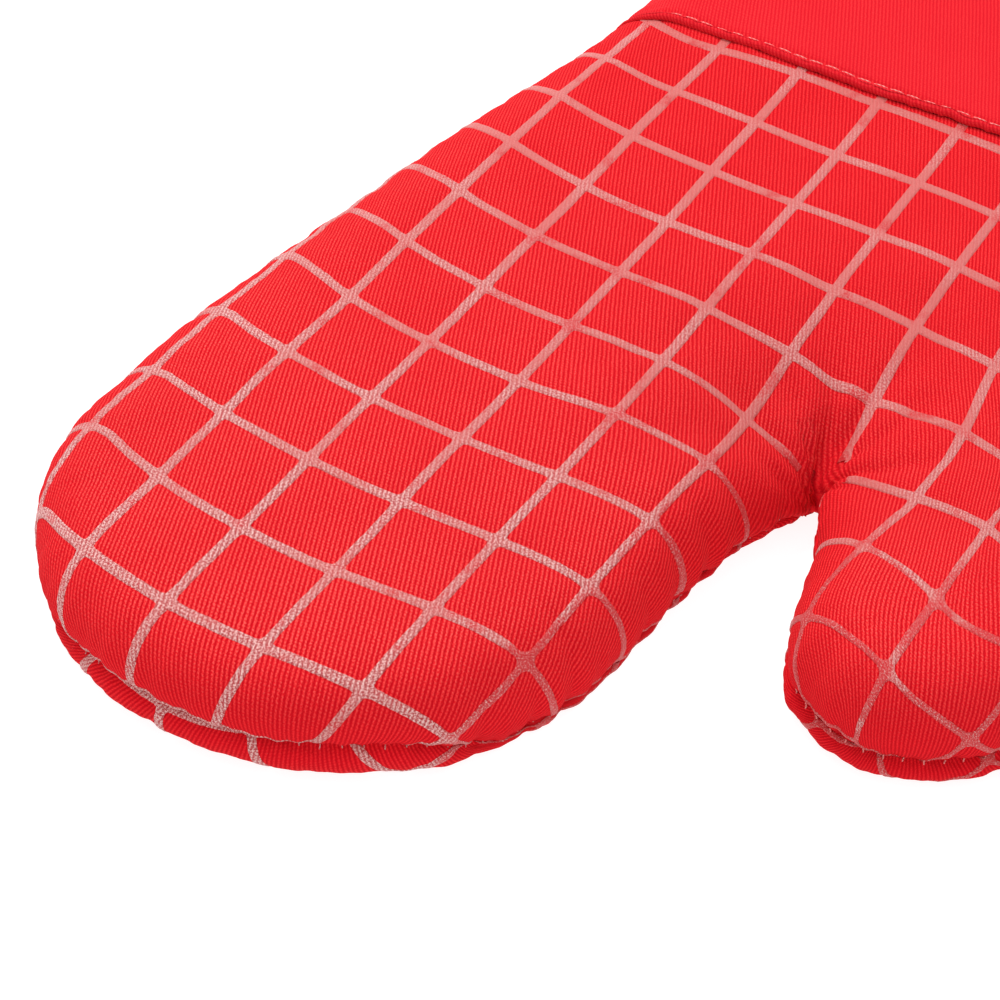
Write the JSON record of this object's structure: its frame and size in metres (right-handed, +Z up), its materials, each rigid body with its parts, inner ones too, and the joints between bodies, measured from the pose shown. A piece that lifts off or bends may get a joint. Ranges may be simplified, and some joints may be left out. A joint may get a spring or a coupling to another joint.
{
  "type": "oven mitt",
  "caption": "Padded twill oven mitt with a raised silicone grid on both faces, a plain cuff, a thumb, an open hand pocket and a hanging loop.",
  "frame": {"origin": "on the floor, under the middle of the mitt's footprint with its hanging loop laid out straight", "axes": "+Z up from the floor, -Y towards the fingertips, +Y towards the open cuff, +X towards the thumb"},
  "size_m": [0.186, 0.382, 0.028],
  "materials": {
    "twill": "matte red cotton twill with fine diagonal ribs",
    "cuff_twill": "matte plain red cotton twill",
    "tape": "matte red folded twill tape",
    "silicone": "translucent pinkish white silicone print, satin with a rough speckled edge",
    "wadding": "soft off-white fibre wadding",
    "lining": "matte natural cotton lining",
    "thread": "pale pink sewing thread"
  },
  "bodies": {
    "hand": {"cover_front_hand": "twill", "grid_front_hand": "silicone", "wadding_front_hand": "wadding", "lining_front_hand": "lining", "cover_back_hand": "twill", "grid_back_hand": "silicone", "wadding_back_hand": "wadding", "lining_back_hand": "lining", "cuff_front": "cuff_twill", "cuff_back": "cuff_twill", "hem_front": "cuff_twill", "hem_back": "cuff_twill", "seam_thread_left": "thread", "seam_thread_right": "thread", "seam_thread_crotch": "thread"},
    "fingers": {"cover_front_fingers": "twill", "grid_front_fingers": "silicone", "wadding_front_fingers": "wadding", "lining_front_fingers": "lining", "cover_back_fingers": "twill", "grid_back_fingers": "silicone", "wadding_back_fingers": "wadding", "lining_back_fingers": "lining", "seam_thread_fingers": "thread"},
    "thumb": {"cover_front_thumb": "twill", "grid_front_thumb": "silicone", "wadding_front_thumb": "wadding", "lining_front_thumb": "lining", "cover_back_thumb": "twill", "grid_back_thumb": "silicone", "wadding_back_thumb": "wadding", "lining_back_thumb": "lining", "seam_thread_thumb": "thread"},
    "loop": {"hanging_loop": "tape"}
  },
  "joints": [
    {"name": "finger_fold", "type": "hinge", "parent": "hand", "child": "fingers", "pos_m": [-0.0637, -0.10629, 0.028], "axis": [-1, 0, 0], "range_deg": [0, 50]},
    {"name": "thumb_fold", "type": "hinge", "parent": "hand", "child": "thumb", "pos_m": [0.0288, -0.07179, 0.028], "axis": [-0.766, -0.6428, 0], "range_deg": [0, 50]},
    {"name": "loop_swing", "type": "hinge", "parent": "hand", "child": "loop", "pos_m": [-0.0677, 0.14741, 0.004], "axis": [0, 0, 1], "range_deg": [-45, 45]}
  ]
}
